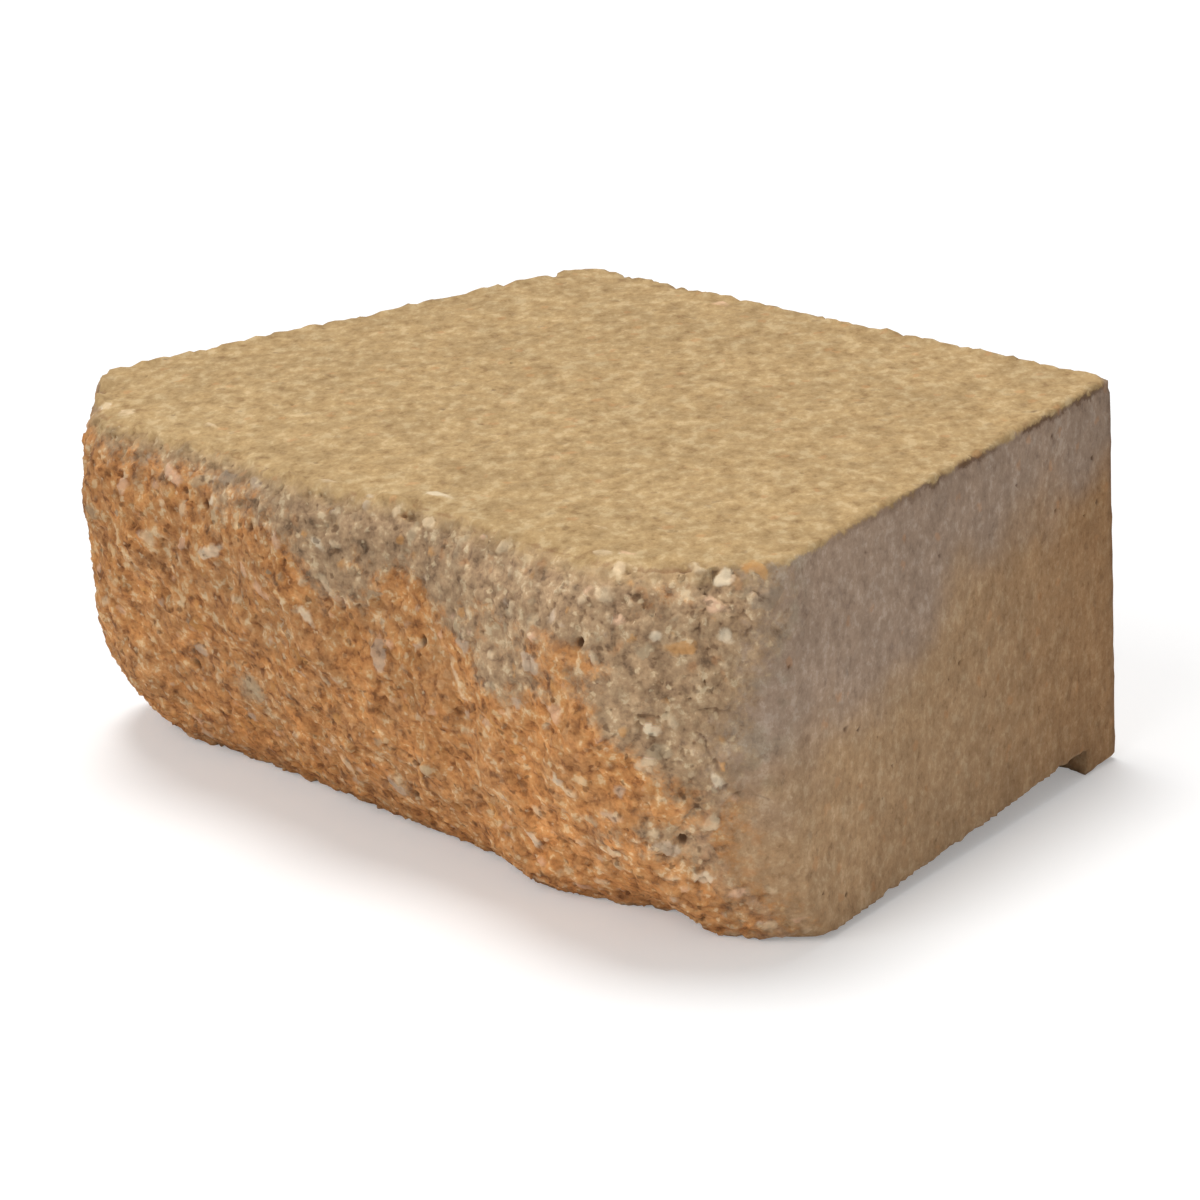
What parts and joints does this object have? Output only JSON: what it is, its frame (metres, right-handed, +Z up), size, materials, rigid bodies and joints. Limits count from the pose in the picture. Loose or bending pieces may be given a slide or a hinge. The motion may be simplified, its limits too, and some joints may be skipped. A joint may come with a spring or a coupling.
{
  "type": "garden wall block",
  "caption": "Solid split-face concrete garden wall block with a rear lip that sets each course back and tapered sides for curves.",
  "frame": {"origin": "bottom centre of the bounding box, at floor level, under the middle of the block", "axes": "+X across the wall to the viewer's right of the split face, +Y from the split face towards the back, +Z up from the floor that it rests on, with the block leaning forward on its lip"},
  "size_m": [0.2718, 0.2036, 0.1109],
  "materials": {
    "split_face_concrete": "dry-cast concrete, sandy cast faces, rough split front with pale aggregate"
  },
  "bodies": {
    "root": {"wall_block": "split_face_concrete"}
  },
  "joints": []
}
